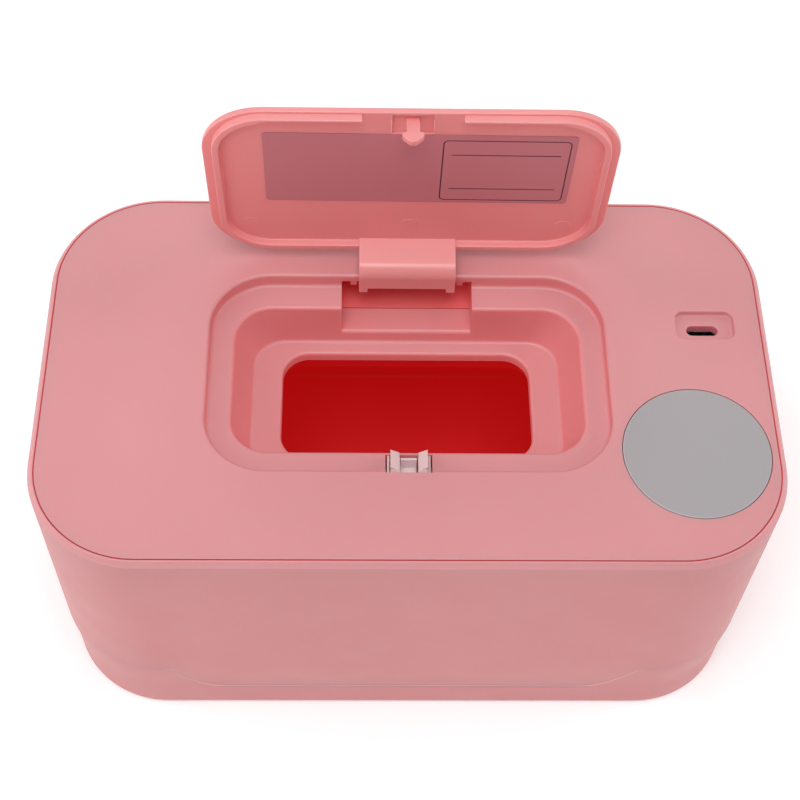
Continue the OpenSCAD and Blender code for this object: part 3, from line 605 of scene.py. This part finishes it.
def lid():
    L, W, R = 55.6, 31.85, 16.7
    v = [(L - 0.3, W - 0.3, R - 0.3, H - 1.9)]
    v = fillet((L - 0.3, W - 0.3, R - 0.3, H - 1.9), (L, W, R, H - 1.9), (L, W, R, H - 1.6), 4)
    v += fillet((L, W, R, H - 0.7), (L, W, R, H), (L - 0.7, W - 0.7, R - 0.7, H), 8)
    o = loft("flip_lid_moulding", [rr_ring(x) for x in v])
    hook = [(1.8, H - 0.8), (1.8, H - 5.5), (2.45, H - 5.5), (2.75, H - 5.72), (2.85, H - 6.1), (2.84, H - 6.7),
            (2.62, H - 7.1), (1.2, H - 8.4), (0.62, H - 8.68)]
    hook += [(0, H - 8.75)] + [(-x, z) for x, z in hook[::-1]]
    add = [rib(), prism("u", hook, line_y, -29, -27, 0.25)]
    for x, y in ((-44.3, 18.8), (0.2, 19.2), (43.9, 19.6)):
        add.append(loft("u", [rr_ring((r, r, r, z), x, y, 12) for r, z in
                              ((2.5, H - 1.7), (2.5, H - 1.97), (2.42, H - 2.04))]))
    boolean(o, "DIFFERENCE", [block("c", (-5.4, -30.95, H - 5), (5.4, -23, H - 1.0))])
    # fine raised line at each side of the recess
    for a in (-5.7, 5.45):
        add.append(block("u", (a, -28.8, H - 2.06), (a + 0.25, -23.2, H - 1.7)))
    boolean(o, "UNION", add)
    opened(o)
    arm = [(40.9, H + 7.95)] + fillet((32.9, H + 5.8), (29.9, H + 5.0), (29.9, H + 1.4), 18)
    arm += fillet((29.9, H - 2.7), (29.9, H - 3), (30.2, H - 3), 3) + fillet((31.25, H - 3), (31.55, H - 3), (31.55, H - 2.7), 3)
    arm += fillet((31.55, H + 1.2), (31.6, H + 3.6), (33.4, H + 4.15), 14) + [(40.9, H + 6.2)]
    cheek = [(29.9, H + 0.6), (29.9, H - 4.5)] + fillet((29.9, H - 4.5), (29.9, H - 4.85), (30.3, H - 4.88), 3)[1:]
    cheek += [(31.4, H - 4.95)]
    cheek += [(38.7 + 1.62 * math.cos(a), H - 4.4 + 1.62 * math.sin(a))
              for a in (math.radians(k) for k in range(-90, 91, 12))]
    cheek += [(31.8, H - 2.9), (31.55, H - 2.5), (31.55, H + 0.6)]
    parts = [prism("u", arm, line_x, -13.9, 13.9, 0.22)]
    parts += [prism("u", cheek, line_x, a, b, 0.18) for a, b in ((-13.9, -11.4), (11.4, 13.9))]
    boolean(o, "UNION", parts)
    bore = prism("c", [(38.7 + 1.06 * math.cos(a), H - 4.4 + 1.06 * math.sin(a))
                       for a in (2 * math.pi * k / 32 for k in range(32))], line_x, -20, 20)
    boolean(o, "DIFFERENCE", [bore])
    show(tidy(o), BODY_OF["flip_lid"], "lid", "flip_lid")
    # outside of the lid, in the plastic of the panel round it; the other faces keep the lighter lid plastic, painted
    # light
    a = math.radians(85)

    def outside(c, n):
        up = (c.y - 38.7) * math.sin(a) + (c.z - H + 4.4) * math.cos(a) - 4.4
        return up > -0.95 and n.y * math.sin(a) + n.z * math.cos(a) > 0.2
    paint(o, "panel", outside)

    # painted highlight: the fine raised lines get the lighter edge plastic
    def fine_line(c, n):
        y = 38.7 + (c.y - 38.7) * math.cos(a) - (c.z - H + 4.4) * math.sin(a)
        z = H - 4.4 + (c.y - 38.7) * math.sin(a) + (c.z - H + 4.4) * math.cos(a)
        return 5.43 < abs(c.x) < 5.72 and -29.0 < y < -23.1 and H - 2.1 < z < H - 1.91
    paint(o, "edge", fine_line)


def turned(v, z):
    a = math.radians(0.5)
    return [(2.1 + x * math.cos(a) - y * math.sin(a), -7.5 + x * math.sin(a) + y * math.cos(a), z) for x, y, _ in v]


def label():
    v = [(41.55, 15.35, 1.0, H - 1.95), (41.6, 15.4, 1.0, H - 1.98), (41.6, 15.4, 1.0, H - 2.03), (41.55, 15.35, 1.0, H - 2.04)]
    o = loft("label_film", [turned(rr_ring(x, n=6), x[3]) for x in v])
    show(tidy(opened(o)), BODY_OF["lid_label"], "label", "lid_label")
    # plain ruled frame on the film: a line round an empty field and two rules
    cx, cy_, hl, hw, w = 23.1, 0.5, 16.9, 13.5, 0.16
    z0, z1 = H - 2.02, H - 2.06

    def strip(z, inset):
        return turned(rr_ring((hl - inset, hw - inset, max(0.3, 1.4 - inset), z), cx, cy_, 6), z)
    fr = loft("label_frame", [strip(z0, -w), strip(z1, -w), strip(z1, w), strip(z0, w)], closed=True)
    rules = []
    for y in (-7.2, 8.2):
        rules.append(loft("r", [turned([(cx - 14.6, cy_ + y - w, z), (cx + 14.6, cy_ + y - w, z),
                                        (cx + 14.6, cy_ + y + w, z), (cx - 14.6, cy_ + y + w, z)], z) for z in (z0, z1)]))
    boolean(fr, "UNION", rules)
    show(tidy(opened(fr)), BODY_OF["lid_label"], "ink")


# ---------- lens ----------

def lens():
    c = 20.25
    v = [(c, c, c, H - 1.6)] + fillet((c,) * 3 + (H - 0.35,), (c,) * 3 + (H,), (c - 0.35,) * 3 + (H,), 6)
    o = loft("display_disc", [rr_ring(x, 78.3, -26.35, 40) for x in v])
    show(tidy(o), BODY_OF["display_lens"], "lens", "display_lens")
    # painted highlight: the edge fillet of the lens gets the lighter lens_edge film
    paint(o, "lens_edge", lambda c, n: 0.15 < n.z < 0.97)


# ---------- latch spring ----------

def spring():
    """Coil between the latch housing and the slider."""
    turns, rad, wire, pitch, per, n = 4, 1.7, 0.25, 1.85, 28, 10
    cx, cy_, z0 = 0.0, -29.4, H - 22.9
    loops = []
    for i in range(turns * per + 1):
        a = 2 * math.pi * i / per
        z = z0 + pitch * i / per
        slope = math.atan2(pitch, 2 * math.pi * rad)
        ring = []
        for k in range(n):
            b = 2 * math.pi * k / n
            u, w = wire * math.cos(b), wire * math.sin(b)
            ring.append((cx + (rad + u) * math.cos(a) + w * math.sin(slope) * math.sin(a),
                         cy_ + (rad + u) * math.sin(a) - w * math.sin(slope) * math.cos(a),
                         z + w * math.cos(slope)))
        loops.append(ring)
    o = loft("latch_coil", loops)
    show(tidy(o, 60.0, weighted=False), BODY_OF["latch_spring"], "spring", "latch_spring")
    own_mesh(o)


panel()
wall()
band()
lid()
label()
lens()
spring()

for node, width in (("latch_housing", 0.12), ("latch_slider", 0.12), ("latch_jaw_left", 0.14),
                    ("latch_jaw_right", 0.14), ("hinge_bracket", 0.2)):
    m = NODES[node].modifiers.new("edge", "BEVEL")
    m.width, m.segments, m.limit_method, m.angle_limit = width * MM, 2, "ANGLE", math.radians(50)


# ---------- camera ----------

YAW, PITCH, ROLL = -0.0437, math.radians(57.681), -0.0423
sy, cy, sp, cp = math.sin(YAW), math.cos(YAW), math.sin(PITCH), math.cos(PITCH)
fwd = Vector((-sy * cp, cy * cp, -sp))
right = Vector((cy, sy, 0))
down = fwd.cross(right)
sr, cr = math.sin(ROLL), math.cos(ROLL)
x_axis = right * cr + down * sr
y_down = -right * sr + down * cr
rot = Matrix((x_axis, -y_down, -fwd)).transposed()
cam_data = bpy.data.cameras.new("camera")
cam_data.sensor_width = 36.0
cam_data.lens = 1606.1 / 800 * 36.0
cam_data.clip_start, cam_data.clip_end = 0.02, 20
cam = bpy.data.objects.new("camera", cam_data)
bpy.context.scene.collection.objects.link(cam)
cam.matrix_world = Matrix.Translation(Vector((-12.721, -246.647, 470.291)) * MM) @ rot.to_4x4()
bpy.context.scene.camera = cam


# ---------- floor and light ----------

def floor():
    me = bpy.data.meshes.new("floor")
    s = 4.0
    me.from_pydata([(-s, -s, 0), (s, -s, 0), (s, s, 0), (-s, s, 0)], [], [(0, 1, 2, 3)])
    o = bpy.data.objects.new("floor", me)
    bpy.context.scene.collection.objects.link(o)
    g = Graph("floor_paper")
    v = g.coords()
    g.join(g.ramp(g.noise(v, 3.0), [(0.3, (0.95, 0.95, 0.95)), (0.7, (0.97, 0.97, 0.97))]),
           g.b.inputs["Base Color"])
    g.b.inputs["Roughness"].default_value = 0.9
    g.b.inputs["Emission Color"].default_value = (1, 1, 1, 1)
    g.b.inputs["Emission Strength"].default_value = 0.18
    me.materials.append(g.m)
    return o


floor()


def area(name, loc, target, size, power, color=(1, 1, 1)):
    d = bpy.data.lights.new(name, "AREA")
    d.shape, d.size, d.energy, d.color = "SQUARE", size, power, color
    o = bpy.data.objects.new(name, d)
    bpy.context.scene.collection.objects.link(o)
    o.location = loc
    o.rotation_euler = (Vector(target) - Vector(loc)).to_track_quat("-Z", "Y").to_euler()


area("near", (-0.05, -0.34, 1.18), (0, 0, 0.08), 0.6, 6.9)
area("left", (-1.4, 0.1, 0.7), (0, 0, 0.08), 0.9, 5.6)
area("right", (1.4, 0.1, 0.7), (0, 0, 0.08), 0.9, 7.3)
area("back", (0, 1.3, 1.0), (0, 0, 0.08), 0.9, 4.4)
area("front_left", (-1.0, -1.0, 0.9), (0, 0, 0.08), 0.9, 3.3)
area("top_left", (-0.8, 0, 1.2), (0, 0, 0.08), 0.8, 1.0)
world = bpy.data.worlds.new("studio")
world.use_nodes = True
bg = world.node_tree.nodes["Background"]
bg.inputs["Color"].default_value = (1, 1, 1, 1)
bg.inputs["Strength"].default_value = 0.2
bpy.context.scene.world = world
bpy.context.scene.view_settings.view_transform = "Standard"
bpy.context.scene.view_settings.look = "None"
